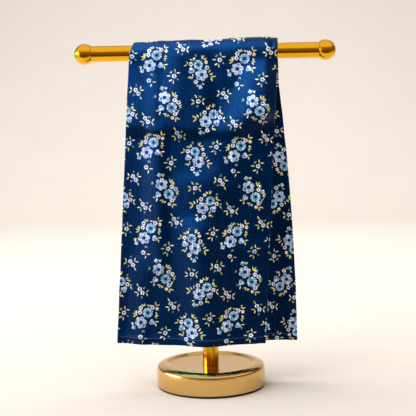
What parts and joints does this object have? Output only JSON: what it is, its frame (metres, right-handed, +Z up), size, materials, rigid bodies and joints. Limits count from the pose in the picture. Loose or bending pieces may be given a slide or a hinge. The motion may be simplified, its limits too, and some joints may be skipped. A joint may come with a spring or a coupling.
{
  "type": "tea towel on a t-bar towel stand",
  "caption": "Navy floral cotton tea towel, folded in thirds and hung over the bar of a gold T-shaped counter stand with ball ends and a round weighted foot.",
  "frame": {"origin": "middle of the underside of the foot's rubber pad, on the surface that the stand rests on", "axes": "+Z up along the post, X along the bar, -Y towards the side that the front of the towel faces"},
  "size_m": [0.2944, 0.1252, 0.3992],
  "materials": {
    "navy_cotton": "printed plain-weave cotton, matt, navy ground with small light blue, lilac and cream flowers",
    "gold_tube": "polished, lightly brushed gold plating",
    "gold_foot": "polished pale gold plating, lightly brushed",
    "pad_rubber": "matt black"
  },
  "bodies": {
    "root": {"towel": "navy_cotton", "bar": "gold_tube", "post": "gold_tube", "finial_left": "gold_tube", "finial_right": "gold_tube", "base": "gold_foot", "base_pad": "pad_rubber"}
  },
  "joints": []
}
